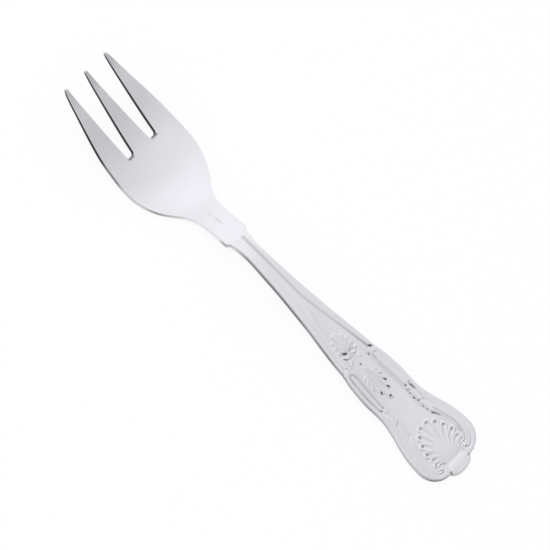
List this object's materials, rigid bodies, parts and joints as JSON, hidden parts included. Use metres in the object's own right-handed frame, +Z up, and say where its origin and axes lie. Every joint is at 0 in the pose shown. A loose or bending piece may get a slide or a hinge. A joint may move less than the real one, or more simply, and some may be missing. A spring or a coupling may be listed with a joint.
{
  "type": "oyster fork",
  "caption": "Small table fork with pointed tines, a shallow bowl and a slim arched stem that widens to a shell-ended handle in relief.",
  "frame": {"origin": "centre of the fork's length and width, on the surface that it lies on", "axes": "+X along the fork to the tine tips, +Z up out of the hollow face, +Y to the left when looking along +X"},
  "size_m": [0.145, 0.0256, 0.0123],
  "materials": {
    "polished_metal": "mirror-polished stainless steel"
  },
  "bodies": {
    "root": {"fork": "polished_metal"}
  },
  "joints": []
}
